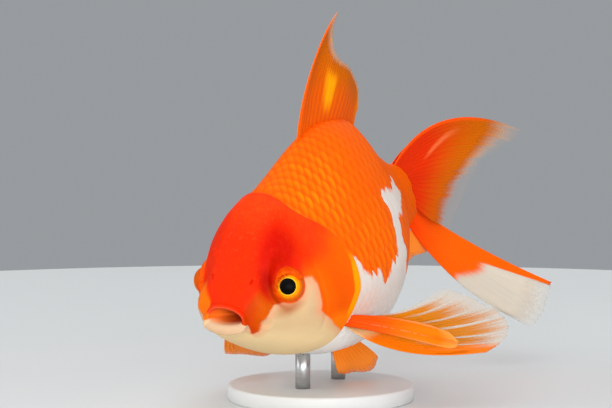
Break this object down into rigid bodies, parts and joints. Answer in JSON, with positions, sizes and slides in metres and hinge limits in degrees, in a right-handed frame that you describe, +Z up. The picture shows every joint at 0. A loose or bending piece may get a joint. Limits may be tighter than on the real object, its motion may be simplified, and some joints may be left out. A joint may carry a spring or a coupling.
{
  "type": "goldfish model",
  "caption": "Still life-size model of a red-capped fancy goldfish swimming nose-down, held over a flat round display stand by short rods.",
  "frame": {"origin": "centre of the underside of the display stand's round base", "axes": "+Z up; the fish faces -Y, with its own left side towards +X; the fish is pitched nose-down and rolled slightly to its left over a level base"},
  "size_m": [0.0655, 0.1154, 0.0826],
  "materials": {
    "red_skin": "moist red skin of the head",
    "orange_skin": "scaled orange and white skin",
    "lips": "pale pink lip skin",
    "eye": "wet eyeball with black pupil and gold ring",
    "fin": "thin orange fin skin with clear margin",
    "stand": "plain satin grey paint",
    "rod": "brushed steel"
  },
  "bodies": {
    "root": {"head": "red_skin", "gill_cover_left": "red_skin", "gill_cover_right": "red_skin", "trunk": "orange_skin", "tail_stem": "orange_skin", "lips": "lips", "eye_left": "eye", "eye_right": "eye", "dorsal_fin": "fin", "tail_fin_upper_left": "fin", "tail_fin_lower_left": "fin", "tail_fin_upper_right": "fin", "tail_fin_lower_right": "fin", "anal_fin_left": "fin", "anal_fin_right": "fin", "pelvic_fin_left": "fin", "pelvic_fin_right": "fin", "pectoral_fin_left": "fin", "pectoral_fin_right": "fin", "stand_base": "stand", "stand_rod_front": "rod", "stand_rod_rear": "rod"}
  },
  "joints": []
}
